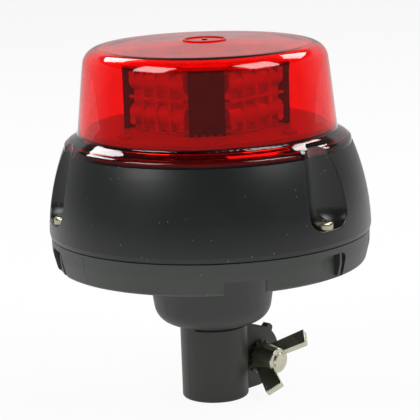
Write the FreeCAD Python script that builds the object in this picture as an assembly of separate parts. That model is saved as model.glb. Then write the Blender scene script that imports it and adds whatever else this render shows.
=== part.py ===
import FreeCAD, Part
import math
import os
from collections import namedtuple
from FreeCAD import Placement, Vector

# Pole-mounted LED beacon: a clamp sleeve for a 24 mm pole, a base with a neck bowl, a shroud
# with three screw pockets, a lens dome and, inside it, a square light engine on a deck.
# Frame: +Z up along the pole, origin at the centre of the sleeve's mouth, -Y is the front.
# Angles round the beacon are in degrees from the front, anticlockwise seen from above.

# ---------------------------------------------------------------- shared clearances and walls
wall = 2.6                      # moulded wall of the base and shroud
seat_gap = 0.3                  # between neighbouring mouldings that locate each other
slip_gap = 0.15                 # between a fastener and its hole
running_gap = 0.05              # between a shaft and the bore that turns or slides on it
touch_gap = 0.02                # between a moving piece and the face it rests on
sink = 0.5                      # how far a boss or rib is sunk into the wall that carries it
over = 1.0                      # how far a cut runs past the face it opens

# ---------------------------------------------------------------- clamp sleeve and its ears
pole_bore_radius = 12.1
sleeve_mouth_wall = 3.4
sleeve_top_wall = 3.6
sleeve_height = 34.2
sleeve_rounding = 1.2
earth_ring_thickness = 0.6
earth_ring_step = 0.5           # of the ring's recess, in from the pole bore
stop_shoulder_thickness = 1.0   # from the top of the pole bore to the top of the sleeve
neck_step = 1.5                 # of the neck, out from the pole bore
neck_lip = 3.1                  # of the neck's own bore, in from the pole bore
key_start_angle = -95.0
key_end_angle = -33.0
key_clearance = 1.0             # degrees, at each end of the seal's cut-away
ear_angle = 136.0               # the way the two ears point
ear_offset = 9.2                # from the pole bore's wall to the bolt axis
ear_radius = 14.4
ear_thickness = 7.0
ear_slot = 3.0
ear_root_drop = 1.6             # of the ears' root below the sleeve's top
ear_edge_rounding = 0.8
ear_foot_height = 0.7
slot_end_wall = 1.2             # between the slot's end and the sleeve's top
trap_radius = 10.0
trap_height = 4.0
lug_angle = 48.0                # up the ear's rim from the horizontal
lug_length = 5.0
lug_height = 3.4
lug_thickness = 3.6

# ---------------------------------------------------------------- clamp bolt, washer, wing nut
bolt_radius = 4.0
bolt_head_flats = 13.0
bolt_head_height = 5.3
bolt_end_show = 0.9             # how far the bolt's end stands out of the nut
bolt_chamfer = 0.7
washer_radius = 8.0
washer_body_radius = 6.4
washer_thickness = 0.8
washer_height = 1.5             # over the twisted teeth
washer_teeth = 14
washer_tooth_width = 2.0
washer_tooth_twist = 24.0
nut_foot_radius = 7.2
nut_end_radius = 6.0
nut_height = 11.4
nut_rounding = 0.7
wing_plane_angle = 42.0         # of the wings' plane, up from the horizontal
wing_lean = 52.0                # of each wing, from square to the bolt towards its end
wing_foot_height = -0.8         # where the wings' middle line would meet the bolt's axis
wing_length = 24.5              # from the bolt's axis
wing_root_width = 7.0
wing_tip_width = 8.6
wing_thickness = 3.2
wing_corner = 1.0
wing_edge_rounding = 0.5

# ---------------------------------------------------------------- base housing and neck bowl
gap_under_bowl = 2.0            # between the sleeve's top and the bowl
bowl_floor_width = 12.4         # from the neck to the bowl's side
bowl_spread = 5.6               # of the bowl's rim beyond its floor
bowl_depth = 35.8               # from the bowl's underside to the base's
bowl_rounding = 9.5
bowl_inner_rounding = 6.0
bowl_flare = 8.0
base_top_radius = 73.5
base_height = 14.6              # from the skirt's edge to the seam
base_bottom_inset = 2.3
base_bottom_rounding = 2.2
base_shoulder_inset = 0.2
base_shoulder_drop = 6.2        # of the shoulder below the seam
base_shoulder_rounding = 14.0
skirt_wall = 2.2
skirt_depth = 6.8               # from the base's underside to the skirt's edge
inner_rounding = 1.5
spigot_height = 4.2
spigot_wall = 2.1
housing_seal_inset = 1.0        # of the seal's edge inside the base's
rib_count = 6
rib_thickness = 1.8
rib_drop = 5.0
rib_first_angle = 30.0
notch_angle = 11.5
notch_width = 19.0
notch_height = 6.3
recess_angle = 47.5
recess_width = 16.5
recess_drop = 2.8               # of the recess's top below the seam
recess_depth = 3.6
recess_corner = 3.0
recess_rib_width = 1.6
recess_rib_inset = 3.2          # of the rib's middle from the recess's right side
slot_angle = 80.0
slot_width = 3.0
slot_rise = 1.2                 # of the side slot's foot above the skirt's edge
slot_drop = 3.8                 # of the side slot's top below the seam
slot_depth = 1.6
screw_boss_radius = 4.4

# ---------------------------------------------------------------- shroud and its screw pockets
seam_gap = 0.6
shroud_step = 0.3               # how far the shroud stands proud of the base
shroud_belly_step = 0.4
shroud_belly_rise = 2.0
shroud_height = 39.5
shroud_taper = 7.5              # from the shroud's bottom radius to its top radius
shroud_bow = 1.7                # how far the side stands out from straight
pocket_count = 3
pocket_angle = 46.0
pocket_radius = 13.0
pocket_offset = 2.2             # of the pocket's axis outside the shroud's bottom edge
pocket_floor_rise = 8.1
pocket_fillet = 8.0
pocket_lip_rounding = 0.7
screw_inset = 7.5               # of the screw from the pocket's axis
screw_seat_radius = 5.5
collar_inset = 3.8              # of the collar inside the dome's foot

# ---------------------------------------------------------------- shroud screws
screw_head_radius = 4.75
screw_head_height = 3.4
screw_head_rounding = 1.5
screw_shank_radius = 1.75
screw_length = 9.7
screw_tip_room = 0.6
cross_length = 5.2
cross_width = 1.3
cross_depth = 1.6

# ---------------------------------------------------------------- lens dome
lens_wall = 2.6
lens_skirt_inset = 0.2
lens_inner_rounding = 1.0
brim_height = 6.1               # above the shroud's top
brim_slope = 0.3
brim_inset = 0.6
brim_width = 5.9
brim_rounding = 2.7
foot_fillet = 1.2
dome_height = 42.0              # above the brim
dome_taper = 4.4                # from the dome's foot radius to its top radius
dome_corner = 8.3
crown_drop = 1.0
lens_seal_thickness = 1.5
lens_seal_inset = 1.5
gate_ring_radius = 10.0
gate_ring_width = 0.9
gate_ring_height = 0.4
gate_dot_radius = 1.3

# ---------------------------------------------------------------- deck and light engine
deck_thickness = 2.5
deck_rise = 3.1                 # of the deck above the brim
deck_edge_chamfer = 0.5
deck_boss_overlap = 1.4         # of the deck bosses into the collar
deck_screw_count = 4
deck_screw_radius = 1.5
deck_screw_head_radius = 3.0
deck_screw_head_height = 2.0
deck_screw_length = 9.0
deck_boss_radius = 4.2
engine_head_room = 4.7          # between the engine's cap and the crown
engine_inset = 27.9             # of the optics' outer face inside the dome's foot
engine_corner_step = 5.8        # of the corner blocks beyond the optics' face
engine_corner_width = 15.6
engine_bore_radius = 11.0
fin_count = 5
fin_thickness = 1.6
fin_depth = 7.0
optic_depth = 7.0
board_thickness = 1.6
board_margin = 1.2
optic_tiers = 2
optic_cells = 4
optic_bar_radius = 4.6
optic_bar_sink = 1.5
optic_divider = 1.2
optic_boss_radius = 1.9
optic_boss_inset = 4.0
led_width = 3.5
led_thickness = 0.8
led_room = 0.5                  # round an LED, in the optic
cap_thickness = 1.6
cap_screw_inset = 4.1           # inside the LED boards' backs
cap_screw_radius = 1.5
cap_screw_head_radius = 2.8
cap_screw_head_height = 1.8
cap_screw_length = 8.0

# ---------------------------------------------------------------- driver board in the base
driver_board_margin = 8.0       # from a standoff's middle to the board's edge
driver_board_rise = 15.4        # of its underside above the base's floor
driver_board_thickness = 1.6
standoff_count = 4
standoff_offset = 6.4           # of a standoff's middle from the bowl's rim
standoff_radius = 3.6
standoff_bore_radius = 1.3
standoff_first_angle = 76.0
driver_screw_head_radius = 2.8
driver_screw_head_height = 1.9
driver_screw_length = 7.0
capacitor_radius = 6.3
capacitor_height = 20.0
capacitor_place = 24.0
capacitor_angles = (200.0, 236.0)
capacitor_foot_rounding = 0.6
capacitor_top_rounding = 0.8
choke_outer_radius = 9.5
choke_inner_radius = 4.2
choke_height = 9.0
choke_place = 22.0
choke_angle = 330.0
choke_rounding = 1.0
terminal_length = 15.0
terminal_depth = 8.0
terminal_height = 10.0
terminal_place = 30.0
terminal_angle = 100.0
terminal_sill = 1.5
switch_length = 10.0
switch_width = 6.5
switch_height = 4.0
switch_place = 32.0
switch_angle = 20.0
switch_lever_count = 4
switch_slot_depth = 0.8

# ---------------------------------------------------------------- pole contacts in the neck
neck_above_bowl_floor = 3.2
clip_thickness = 1.2
clip_groove_depth = 0.7
clip_width = 3.1
clip_opening = 50.0
clip_eye_radius = 1.7
clip_eye_gap = 0.3              # between the neck and an eye
clip_eye_step = 6.0             # degrees from the clip's end to its eye
clip_eye_hole_radius = 0.6
insulator_flange_inset = 0.8    # of the flange's edge inside the neck's
insulator_flange_thickness = 2.5
insulator_tower_radius = 6.5
insulator_tower_rounding = 0.8
insulator_shoulder = 1.2        # from the neck's top to the plunger's stop
insulator_screw_offset = 2.3    # outside the neck's bore
insulator_screw_radius = 0.9
insulator_screw_head_radius = 1.7
insulator_screw_head_height = 1.3
insulator_screw_length = 7.0
plunger_tip_radius = 2.5
plunger_tip_rounding = 0.8
plunger_flange_radius = 3.9
plunger_flange_thickness = 1.2
plunger_recess = 0.4            # of its tip, above the pole bore's top
spring_length = 6.0
spring_radius = 2.9
spring_wire_radius = 0.25
spring_turns = 4.5
contact_cap_thickness = 1.2
earth_post_radius = 0.8
earth_post_angle = 0.0
earth_post_show = 2.0           # above the insulator's flange
lead_radius = 0.9
lead_bend = 6.0
live_lead_angle = 150.0
earth_lead_angle = 60.0
lead_board_place = 16.0
lead_straight = 8.0

# ---------------------------------------------------------------- worked-out radii
sleeve_mouth_radius = pole_bore_radius + sleeve_mouth_wall
sleeve_top_radius = pole_bore_radius + sleeve_top_wall
earth_ring_radius = pole_bore_radius - earth_ring_step
neck_radius = pole_bore_radius + neck_step
neck_bore_radius = pole_bore_radius - neck_lip
ear_reach = pole_bore_radius + ear_offset
bowl_floor_radius = neck_radius + bowl_floor_width
bowl_rim_radius = bowl_floor_radius + bowl_spread
base_bottom_radius = base_top_radius - base_bottom_inset
base_shoulder_radius = base_top_radius - base_shoulder_inset
skirt_inner_radius = base_bottom_radius - skirt_wall
shroud_bottom_radius = base_top_radius + shroud_step
shroud_belly_radius = shroud_bottom_radius + shroud_belly_step
shroud_top_radius = shroud_bottom_radius - shroud_taper
spigot_radius = shroud_bottom_radius - wall - seat_gap
pocket_centre = shroud_bottom_radius + pocket_offset
screw_place = pocket_centre - screw_inset
skirt_radius = shroud_top_radius - lens_skirt_inset
skirt_inner = skirt_radius - lens_wall
brim_radius = skirt_radius - brim_inset
dome_foot_radius = brim_radius - brim_width
dome_top_radius = dome_foot_radius - dome_taper
collar_radius = dome_foot_radius - collar_inset
shoulder_radius = skirt_inner - seat_gap
deck_screw_place = collar_radius - wall - deck_boss_radius + deck_boss_overlap
engine_facet_place = dome_foot_radius - engine_inset
engine_corner_reach = engine_facet_place + engine_corner_step
board_place = engine_facet_place - optic_depth - board_thickness
cap_screw_place = board_place - cap_screw_inset
standoff_place = bowl_rim_radius + standoff_offset
driver_board_radius = standoff_place + driver_board_margin
clip_inner_radius = neck_radius - clip_groove_depth
clip_outer_radius = clip_inner_radius + clip_width
clip_eye_place = neck_radius + clip_eye_gap + clip_eye_radius
insulator_flange_radius = neck_radius - insulator_flange_inset
insulator_screw_place = neck_bore_radius + insulator_screw_offset

# ---------------------------------------------------------------- worked-out levels
bolt_height = ear_foot_height + ear_radius
ear_root_top = sleeve_height - ear_root_drop
slot_height = sleeve_height - slot_end_wall
pole_bore_depth = sleeve_height - stop_shoulder_thickness
earth_ring_top = pole_bore_depth + earth_ring_thickness
bowl_bottom = sleeve_height + gap_under_bowl
bowl_floor = bowl_bottom + wall
neck_top = bowl_floor + neck_above_bowl_floor
base_floor_underside = bowl_bottom + bowl_depth
base_floor = base_floor_underside + wall
base_bottom = base_floor_underside - skirt_depth
base_top = base_bottom + base_height
base_shoulder_height = base_top - base_shoulder_drop
recess_top = base_top - recess_drop
slot_low = base_bottom + slot_rise
slot_top = base_top - slot_drop
spigot_top = base_top + spigot_height
shroud_bottom = base_top + seam_gap
shroud_belly_height = shroud_bottom + shroud_belly_rise
shroud_top = shroud_bottom + shroud_height
pocket_floor = shroud_bottom + pocket_floor_rise
pocket_underside = pocket_floor - wall - seat_gap
brim_top = shroud_top + brim_height
brim_underside = brim_top - lens_wall - brim_slope
shoulder_top = brim_underside - lens_seal_thickness
crown_height = brim_top + dome_height
deck_top = brim_top + deck_rise
deck_underside = deck_top - deck_thickness
engine_top = crown_height - lens_wall - engine_head_room - cap_thickness
engine_height = engine_top - deck_top
driver_board_height = base_floor + driver_board_rise
board_top = driver_board_height + driver_board_thickness
plunger_shoulder = neck_top + insulator_shoulder
spring_foot = plunger_shoulder + touch_gap + plunger_flange_thickness
tower_top = spring_foot + spring_length + contact_cap_thickness
earth_post_top = neck_top + insulator_flange_thickness + earth_post_show

# ---------------------------------------------------------------- worked-out places
ear_face = ear_slot / 2 + ear_thickness
washer_seat = ear_face + touch_gap
nut_foot = washer_seat + washer_height + touch_gap
nut_end = nut_foot + nut_height
bolt_end = nut_end + bolt_end_show
pocket_angles = [pocket_angle + 360.0 / pocket_count * n for n in range(pocket_count)]
facet_angles = [45.0 + 90.0 * n for n in range(4)]
corner_angles = [90.0 * n for n in range(4)]

Bow = namedtuple("Bow", "r z")


# ================================================================ helpers
def around(angle, radius, z=0.0):
    """Point at an angle from the front and a radius from the pole axis."""
    turn_by = math.radians(angle)
    return Vector(radius * math.sin(turn_by), -radius * math.cos(turn_by), z)


def turned(shape, angle):
    """Copy of a shape modelled at the front, turned to its angle round the beacon."""
    copy = shape.copy()
    copy.rotate(Vector(0, 0, 0), Vector(0, 0, 1), angle)
    return copy


def tube(radius, low, high, bore=0.0, centre=Vector(0, 0, 0)):
    """Upright cylinder between two heights, with an optional bore."""
    foot = Vector(centre.x, centre.y, low)
    body = Part.makeCylinder(radius, high - low, foot)
    if bore > 0:
        body = body.cut(Part.makeCylinder(bore, high - low, foot))
    return body


def block(x_size, y_size, low, high, centre=Vector(0, 0, 0)):
    """Upright box between two heights, centred on a point in plan."""
    corner = Vector(centre.x - x_size / 2, centre.y - y_size / 2, low)
    return Part.makeBox(x_size, y_size, high - low, corner)


def corner_arc(before, corner, after, rounding):
    """Start, middle and end of the arc that rounds a corner between two straight runs."""
    to_before = (before - corner).normalize()
    to_after = (after - corner).normalize()
    half = to_before.getAngle(to_after) / 2
    setback = rounding / math.tan(half)
    inward = (to_before + to_after).normalize()
    middle = corner + inward * (rounding / math.sin(half) - rounding)
    return corner + to_before * setback, middle, corner + to_after * setback


def outline(points):
    """Closed face in the XZ plane.

    A point is (x, z) or (x, z, rounding); a Bow between two points makes their run an arc
    through it.
    """
    corners = [p for p in points if not isinstance(p, Bow)]
    places = [Vector(p[0], 0, p[1]) for p in corners]
    count = len(corners)
    stations = []
    for index, corner in enumerate(corners):
        place = places[index]
        if len(corner) == 3 and corner[2] > 0:
            stations.append(corner_arc(places[index - 1], place, places[(index + 1) % count], corner[2]))
        else:
            stations.append((place, None, place))
    bows = {}
    for index, point in enumerate(points):
        if isinstance(point, Bow):
            corners_before = sum(1 for p in points[:index] if not isinstance(p, Bow))
            bows[corners_before - 1] = Vector(point.r, 0, point.z)
    edges = []
    for index, (start, middle, end) in enumerate(stations):
        if middle is not None:
            edges.append(Part.Arc(start, middle, end).toShape())
        following = stations[(index + 1) % count][0]
        if index in bows:
            edges.append(Part.Arc(end, bows[index], following).toShape())
        elif end.distanceToPoint(following) > 1e-6:
            edges.append(Part.LineSegment(end, following).toShape())
    return Part.Face(Part.Wire(edges))


def revolved(points):
    """Solid of revolution about the pole axis."""
    return outline(points).revolve(Vector(0, 0, 0), Vector(0, 0, 1), 360)


def ring(outer, inner, low, high):
    """Plain ring about the pole axis."""
    return revolved([(inner, low), (outer, low), (outer, high), (inner, high)])


def fused(shapes):
    """One solid from several that overlap or touch."""
    first, rest = shapes[0], shapes[1:]
    joined = first.fuse(rest) if rest else first
    return joined.removeSplitter()


def prism_edge(points, thickness, rounding=0.0):
    """Plate standing in the XZ plane, centred on it, with rounded long edges."""
    plate = outline(points).extrude(Vector(0, thickness, 0))
    plate.translate(Vector(0, -thickness / 2, 0))
    if rounding > 0:
        rims = [e for e in plate.Edges if abs(e.BoundBox.YLength) < 1e-6]
        plate = plate.makeFillet(rounding, rims)
    return plate


def pan_screw(head_radius, head_height, shank_radius, length, rounding, recess):
    """Pan-head screw standing upright on the origin, head up, with a cross recess."""
    head = revolved([(0, 0), (head_radius, 0), (head_radius, head_height, rounding), (0, head_height)])
    shank = tube(shank_radius, -length, 0)
    shank = shank.makeChamfer(shank_radius * 0.4, [shank.Edges[0]]) if length > 0 else shank
    slots = [block(recess[0], recess[1], head_height - recess[2], head_height + 1),
             block(recess[1], recess[0], head_height - recess[2], head_height + 1)]
    return fused([head, shank]).cut(slots)


def small_screw(head_radius, head_height, shank_radius, length):
    """Small cross-recessed screw; its recess follows from the head."""
    recess = (head_radius * 1.2, head_radius * 0.3, head_height * 0.5)
    return pan_screw(head_radius, head_height, shank_radius, length, head_height * 0.45, recess)


def on_bolt_axis(shape):
    """Place a shape modelled up +Z from the split plane on the clamp bolt's axis."""
    out = around(ear_angle - 90.0, 1.0)
    across = around(ear_angle, 1.0)
    placed = shape.copy()
    matrix = FreeCAD.Matrix(across.x, 0, out.x, across.x * ear_reach,
                            across.y, 0, out.y, across.y * ear_reach,
                            0, 1, 0, bolt_height,
                            0, 0, 0, 1)
    placed.Placement = Placement(matrix).multiply(shape.Placement)
    return placed


# ================================================================ clamp sleeve
def tangent_point(point, centre, radius, side):
    """Where a line from a point touches a circle in the XZ plane, on the given side."""
    gap = point - centre
    distance = math.hypot(gap.x, gap.z)
    base = math.atan2(gap.z, gap.x)
    angle = base + side * math.acos(radius / distance)
    return Vector(centre.x + radius * math.cos(angle), 0, centre.z + radius * math.sin(angle))


def ear_plate():
    """Ear outline: a disc about the bolt, drawn out to the sleeve along its tangents."""
    centre = Vector(ear_reach, 0, bolt_height)
    root = pole_bore_radius + (sleeve_mouth_radius - pole_bore_radius) / 2
    top = Vector(root, 0, ear_root_top)
    bottom = Vector(root, 0, bolt_height - ear_radius)
    upper = tangent_point(top, centre, ear_radius, -1)
    lower = Vector(ear_reach, 0, bottom.z)
    tip = Vector(ear_reach + ear_radius, 0, bolt_height)
    edges = [Part.LineSegment(bottom, lower).toShape(), Part.Arc(lower, tip, upper).toShape(),
             Part.LineSegment(upper, top).toShape(), Part.LineSegment(top, bottom).toShape()]
    plate = Part.Face(Part.Wire(edges)).extrude(Vector(0, ear_thickness, 0))
    rims = [e for e in plate.Edges if abs(e.BoundBox.YLength) < 1e-6 and e.BoundBox.XMax > ear_reach]
    return plate.makeFillet(ear_edge_rounding, rims)


def ears():
    """Both ears in the ear frame: +X the way they point, the slot about Y = 0."""
    back = ear_plate()
    back.translate(Vector(0, ear_slot / 2, 0))
    front = ear_plate()
    front.translate(Vector(0, -ear_slot / 2 - ear_thickness, 0))
    boss_foot = Vector(ear_reach, ear_face - ear_edge_rounding, bolt_height)
    boss = Part.makeCylinder(trap_radius, trap_height + ear_edge_rounding, boss_foot, Vector(0, 1, 0))
    boss = boss.makeChamfer(ear_edge_rounding, [boss.Edges[0], boss.Edges[2]])
    lug = outline([(0, 0), (lug_length, 0), (lug_length * 0.72, lug_height, 1.0), (0.5, lug_height, 1.0)])
    lug = lug.extrude(Vector(0, lug_thickness, 0))
    lug.translate(Vector(-lug_length / 2, 0, -ear_edge_rounding))
    lug.rotate(Vector(0, 0, 0), Vector(0, 1, 0), 90.0 - lug_angle)
    rim = Vector(math.cos(math.radians(lug_angle)), 0, math.sin(math.radians(lug_angle)))
    lug.translate(Vector(ear_reach, -ear_face + (ear_thickness - lug_thickness) / 2, bolt_height))
    lug.translate(rim * ear_radius)
    return [front, back, boss, lug]


def hexagon(flats, low, high):
    """Upright hexagonal prism about the Z axis."""
    corner = flats / math.sqrt(3)
    points = [Vector(corner * math.cos(math.radians(60 * n)), corner * math.sin(math.radians(60 * n)), low)
              for n in range(7)]
    return Part.Face(Part.makePolygon(points)).extrude(Vector(0, 0, high - low))


def ear_frame(shape):
    """Turn a shape from the ear frame, +X out along the ears, to its place."""
    return turned(shape, ear_angle - 90.0)


def key_sector(outer, inner, low, high, margin=0.0):
    """The anti-rotation key's sector of a ring."""
    sector = outline([(inner, low), (outer, low), (outer, high), (inner, high)])
    sector = sector.revolve(Vector(0, 0, 0), Vector(0, 0, 1), key_end_angle - key_start_angle + 2 * margin)
    return turned(sector, key_start_angle - 90.0 - margin)


def clamp_sleeve():
    """Split sleeve with two ears, a stop for the pole, a neck and an anti-rotation key."""
    body = revolved([(0, 0), (sleeve_mouth_radius, 0, sleeve_rounding), (sleeve_top_radius, sleeve_height),
                     (neck_radius, sleeve_height), (neck_radius, neck_top), (0, neck_top)])
    body = fused([body] + [ear_frame(piece) for piece in ears()])
    body = body.fuse(key_sector(sleeve_top_radius, neck_radius - sink, sleeve_height - sink, bowl_bottom))
    groove = ring(neck_radius + over, clip_inner_radius, bowl_floor, bowl_floor + clip_thickness + touch_gap)
    reach = ear_reach + ear_radius + lug_height + over
    slot = Part.makeBox(reach, ear_slot, slot_height + over, Vector(0, -ear_slot / 2, -over))
    trap = hexagon(bolt_head_flats + 2 * slip_gap, -ear_face - trap_height - over, -ear_face)
    hole = tube(bolt_radius + seat_gap, -ear_face - over, ear_face + over)
    post_hole = tube(earth_post_radius + slip_gap, pole_bore_depth, neck_top + over,
                     centre=earth_post_place())
    pilots = [tube(insulator_screw_radius + touch_gap, neck_top - insulator_screw_length, neck_top + over,
                   centre=place) for place in insulator_screw_places()]
    cuts = [tube(pole_bore_radius, -over, pole_bore_depth),
            tube(earth_ring_radius + slip_gap, pole_bore_depth - touch_gap, earth_ring_top),
            tube(neck_bore_radius, 0, neck_top + over), groove,
            ear_frame(slot), on_bolt_axis(trap), on_bolt_axis(hole), post_hole]
    return body.cut(cuts + pilots).removeSplitter()


def earth_post_place():
    """Where the earth post passes up through the neck."""
    return around(earth_post_angle, insulator_screw_place)


def insulator_screw_places():
    """Two screws, either side of the earth post."""
    return [around(earth_post_angle + 120.0 * side, insulator_screw_place) for side in (-1, 1)]


def neck_seal():
    """Rubber washer between the sleeve and the bowl, cut away for the key."""
    seal = ring(sleeve_top_radius - sink, neck_radius + slip_gap, sleeve_height, bowl_bottom)
    keyway = key_sector(sleeve_top_radius + over, neck_radius - over, sleeve_height - over,
                        bowl_bottom + over, key_clearance)
    return seal.cut(keyway)


def neck_circlip():
    """Spring clip that holds the sleeve's neck up against the inside of the bowl."""
    low, high = bowl_floor, bowl_floor + clip_thickness
    clip = ring(clip_outer_radius, clip_inner_radius + touch_gap, low, high)
    gap = outline([(0, low - over), (2 * clip_outer_radius, low - over), (2 * clip_outer_radius, high + over),
                   (0, high + over)]).revolve(Vector(0, 0, 0), Vector(0, 0, 1), clip_opening)
    clip = clip.cut(turned(gap, -90.0 - clip_opening / 2))
    eyes, holes = [], []
    for side in (-1, 1):
        place = around(side * (clip_opening / 2 + clip_eye_step), clip_eye_place)
        eyes.append(tube(clip_eye_radius, low, high, centre=place))
        holes.append(tube(clip_eye_hole_radius, low - over, high + over, centre=place))
    return fused([clip] + eyes).cut(holes)


# ================================================================ clamp bolt, washer and nut
def clamp_bolt():
    """Hexagon-head bolt, its head in the far ear's trap."""
    head = hexagon(bolt_head_flats, -ear_face - bolt_head_height, -ear_face)
    corner = bolt_head_flats / math.sqrt(3) + over
    dome = revolved([(0, -bolt_head_height), (bolt_head_flats / 2 - touch_gap, -bolt_head_height),
                     (corner, -bolt_head_height + 2 * bolt_chamfer), (corner, over), (0, over)])
    dome.translate(Vector(0, 0, -ear_face))
    shank = tube(bolt_radius, -ear_face, bolt_end)
    rim = [e for e in shank.Edges if abs(e.BoundBox.ZMin - bolt_end) < 1e-6]
    shank = shank.makeChamfer(bolt_chamfer, rim)
    return on_bolt_axis(fused([head.common(dome), shank]))


def lock_washer():
    """External-tooth lock washer: a flat ring with twisted teeth."""
    middle = washer_seat + washer_height / 2
    low, high = middle - washer_thickness / 2, middle + washer_thickness / 2
    body = ring(washer_body_radius, bolt_radius + slip_gap, low, high)
    teeth = []
    for number in range(washer_teeth):
        root = washer_body_radius - sink
        tooth = Part.makeBox(washer_radius - root, washer_tooth_width, washer_thickness,
                             Vector(root, -washer_tooth_width / 2, -washer_thickness / 2))
        tooth.rotate(Vector(0, 0, 0), Vector(1, 0, 0), washer_tooth_twist)
        tooth.translate(Vector(0, 0, middle))
        teeth.append(turned(tooth, 360.0 / washer_teeth * number))
    envelope = ring(washer_radius, bolt_radius, washer_seat, washer_seat + washer_height)
    return on_bolt_axis(fused([body] + teeth).common(envelope))


def wing(side):
    """One wing: a flat bar leaning out of the hub, in the XZ plane."""
    half_root, half_tip = wing_root_width / 2, wing_tip_width / 2
    corners = [(0, -half_root), (wing_length, -half_tip, wing_corner),
               (wing_length, half_tip, wing_corner), (0, half_root)]
    bar = prism_edge(corners, wing_thickness, wing_edge_rounding)
    bar.rotate(Vector(0, 0, 0), Vector(0, 1, 0), -wing_lean)
    if side < 0:
        bar.rotate(Vector(0, 0, 0), Vector(0, 0, 1), 180)
    bar.translate(Vector(0, 0, wing_foot_height))
    return bar


def wing_nut():
    """Cast wing nut: a tapered hub with two wings that lean towards the bolt's end."""
    hub = revolved([(0, 0), (nut_foot_radius, 0, nut_rounding), (nut_end_radius, nut_height, nut_rounding),
                    (0, nut_height)])
    nut = fused([hub, wing(1), wing(-1)])
    inside = tube(nut_end_radius - over, nut_height, nut_height + wing_length)
    nut = nut.cut([tube(bolt_radius + running_gap, -over, nut_height + over), inside])
    below = block(4 * nut_foot_radius, 4 * nut_foot_radius, -wing_length, 0)
    nut = nut.cut(below)
    nut.rotate(Vector(0, 0, 0), Vector(0, 0, 1), wing_plane_angle)
    nut.translate(Vector(0, 0, nut_foot))
    return on_bolt_axis(nut)


# ================================================================ base housing
def recess_block(grow=0.0):
    """Rounded pocket in the base ring's side, under a shroud screw, at the front."""
    half = recess_width / 2 + grow
    low = base_bottom - recess_drop
    face = outline([(-half, low), (half, low), (half, recess_top + grow, recess_corner),
                    (-half, recess_top + grow, recess_corner)])
    depth = recess_depth + grow
    pocket = face.extrude(Vector(0, 2 * depth, 0))
    pocket.translate(Vector(0, -base_top_radius - depth, 0))
    return pocket


def recess_rib():
    """Rib that stands in the recess, near its right side."""
    place = Vector(recess_width / 2 - recess_rib_inset, -base_top_radius + recess_depth - over, 0)
    return block(recess_rib_width, recess_depth, base_bottom + slot_rise, recess_top, place)


def base_envelope():
    """Outer form of the base ring, from its axis out."""
    return revolved([(0, base_bottom), (base_bottom_radius, base_bottom, base_bottom_rounding),
                     (base_shoulder_radius, base_shoulder_height, base_shoulder_rounding),
                     (base_top_radius, base_top), (0, base_top)])


def base_form():
    """The base as a solid: neck bowl, flare, floor, skirt and spigot."""
    return revolved([(0, bowl_bottom), (bowl_floor_radius, bowl_bottom, bowl_rounding),
                     (bowl_rim_radius, base_floor_underside, bowl_flare),
                     (skirt_inner_radius, base_floor_underside, inner_rounding),
                     (skirt_inner_radius, base_bottom),
                     (base_bottom_radius, base_bottom, base_bottom_rounding),
                     (base_shoulder_radius, base_shoulder_height, base_shoulder_rounding),
                     (base_top_radius, base_top), (spigot_radius, base_top), (spigot_radius, spigot_top),
                     (0, spigot_top)])


def base_cavity():
    """Inside of the base: the bowl's inside and the space above the floor."""
    inner_wall = base_top_radius - wall - seat_gap
    spigot_inner = spigot_radius - spigot_wall
    return revolved([(0, bowl_floor), (bowl_floor_radius - wall, bowl_floor, bowl_inner_rounding),
                     (bowl_rim_radius - wall, base_floor, bowl_flare + wall),
                     (inner_wall, base_floor, inner_rounding), (inner_wall, base_top - wall),
                     (spigot_inner, base_top), (spigot_inner, spigot_top + over), (0, spigot_top + over)])


def base_housing():
    """Base moulding: ring with skirt, recesses and notch, screw bosses, floor and neck bowl."""
    inside_shroud = tube(spigot_radius, base_floor, pocket_underside)
    bosses, pilots, pads, recesses, ribs_in_recess = [], [], [], [], []
    for angle in pocket_angles:
        place = around(angle, screw_place)
        boss = tube(screw_boss_radius, base_floor - sink, pocket_underside, centre=place)
        bosses.append(boss.common(inside_shroud))
        pilots.append(tube(screw_shank_radius + touch_gap, pocket_floor - screw_length - screw_tip_room,
                           pocket_underside + over, centre=place))
        offset = recess_angle - pocket_angle
        pads.append(turned(recess_block(wall), angle + offset).common(base_envelope()))
        recesses.append(turned(recess_block(), angle + offset))
        ribs_in_recess.append(turned(recess_rib(), angle + offset).common(base_envelope()))
    ribs = []
    rib_start, rib_end = bowl_rim_radius - 2 * sink, skirt_inner_radius + sink
    for number in range(rib_count):
        rib = block(rib_thickness, rib_end - rib_start, base_floor_underside - rib_drop,
                    base_floor_underside + sink, around(0, (rib_start + rib_end) / 2))
        ribs.append(turned(rib, rib_first_angle + 360.0 / rib_count * number))
    standoffs = [tube(standoff_radius, base_floor - sink, driver_board_height, centre=place)
                 for place in standoff_places()]
    standoff_bores = [tube(standoff_bore_radius + touch_gap, driver_board_height - driver_screw_length,
                           driver_board_height + over, centre=place) for place in standoff_places()]
    cavity = base_cavity().cut(pads)
    form = fused([base_form()] + pads + ribs)
    notch = block(notch_width, 4 * wall, base_bottom - over, base_bottom + notch_height,
                  around(0, base_bottom_radius))
    side_slot = block(slot_width, 2 * slot_depth, slot_low, slot_top, around(0, base_top_radius))
    mouth = tube(neck_radius + slip_gap, bowl_bottom - over, bowl_floor + over)
    housing = form.cut([cavity, mouth, turned(notch, notch_angle), turned(side_slot, slot_angle)] + recesses)
    housing = fused([housing] + bosses + standoffs + ribs_in_recess)
    return housing.cut(pilots + standoff_bores).removeSplitter()


def standoff_places():
    """Driver board fixings, on a circle."""
    step = 360.0 / standoff_count
    return [around(standoff_first_angle + step * n, standoff_place) for n in range(standoff_count)]


def housing_seal():
    """Gasket in the seam between the base and the shroud, set back from the outside."""
    return ring(base_top_radius - housing_seal_inset, spigot_radius + slip_gap, base_top, shroud_bottom)


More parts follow.
